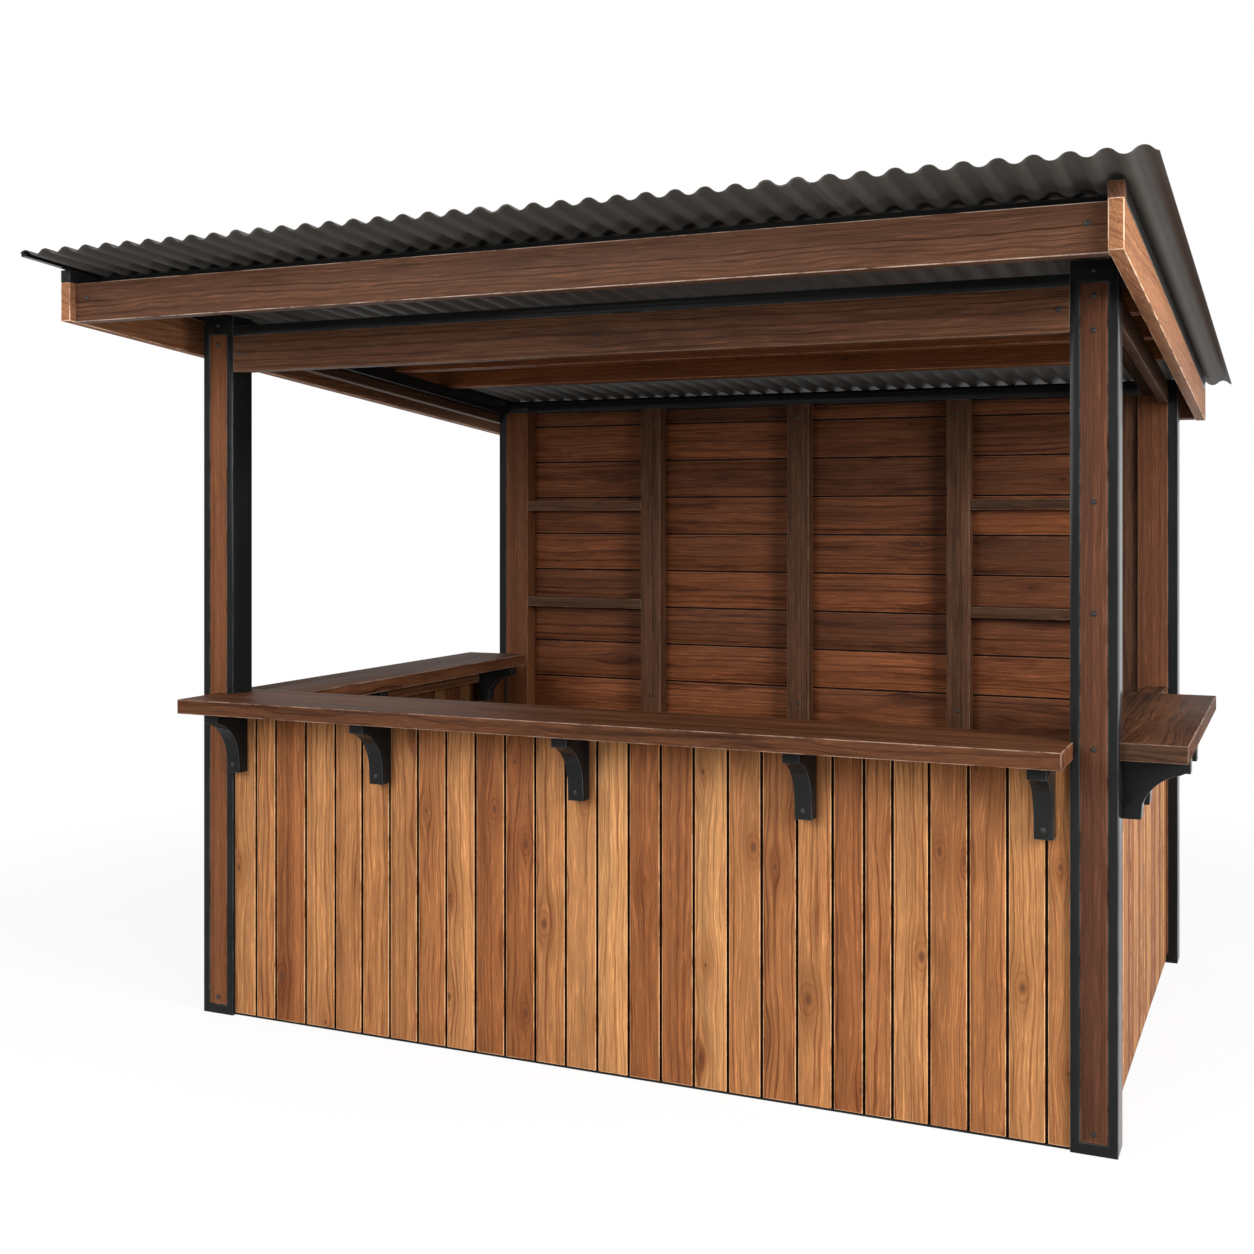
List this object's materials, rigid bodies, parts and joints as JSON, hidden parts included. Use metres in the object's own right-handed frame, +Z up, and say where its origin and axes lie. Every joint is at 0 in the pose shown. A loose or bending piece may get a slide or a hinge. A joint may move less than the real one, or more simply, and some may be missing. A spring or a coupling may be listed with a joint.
{
  "type": "wooden market stall",
  "caption": "Wooden market stall with steel and timber posts, boarded low walls, counters on brackets, a shelved back wall and a sloping corrugated roof.",
  "frame": {"origin": "on the ground, under the middle of the overall plan", "axes": "+X to the right along the front counter, +Y from the front counter to the back wall, +Z up"},
  "size_m": [3.234, 3.18, 2.4441],
  "materials": {
    "black_steel": "satin",
    "roof_steel": "matte",
    "post_timber": "satin",
    "dark_timber": "satin",
    "barge_timber": "satin",
    "counter_timber": "satin",
    "dark_boards": "satin",
    "light_boards": "satin"
  },
  "bodies": {
    "root": {"post_front_left_steel": "black_steel", "post_front_right_steel": "black_steel", "post_back_left_steel": "black_steel", "post_back_right_steel": "black_steel", "post_front_left_timber": "post_timber", "post_front_right_timber": "post_timber", "post_back_left_timber": "post_timber", "post_back_right_timber": "post_timber", "front_wall": "light_boards", "left_wall": "light_boards", "right_wall": "light_boards", "front_wall_rails": "dark_timber", "left_wall_rails": "dark_timber", "right_wall_rails": "dark_timber", "back_wall": "dark_boards", "back_stud_left": "dark_timber", "back_stud_middle": "dark_timber", "back_stud_right": "dark_timber", "back_stud_corner": "dark_timber", "back_top_rail": "black_steel", "shelves_left": "dark_timber", "shelves_right": "dark_timber", "front_counter": "counter_timber", "left_counter": "counter_timber", "right_counter": "counter_timber", "front_brackets": "black_steel", "right_brackets": "black_steel", "left_brackets": "black_steel", "front_beam": "dark_timber", "front_top_rail": "black_steel", "side_plank_left": "dark_timber", "side_plank_right": "dark_timber", "side_beam_left": "black_steel", "side_beam_right": "black_steel", "barge_board_left": "barge_timber", "barge_board_right": "barge_timber", "side_battens": "black_steel", "eaves_battens": "black_steel", "front_fascia": "dark_timber", "back_fascia": "dark_timber", "purlins": "dark_timber", "roof_sheet_1": "roof_steel", "roof_sheet_2": "roof_steel", "roof_sheet_3": "roof_steel", "roof_sheet_4": "roof_steel"}
  },
  "joints": []
}
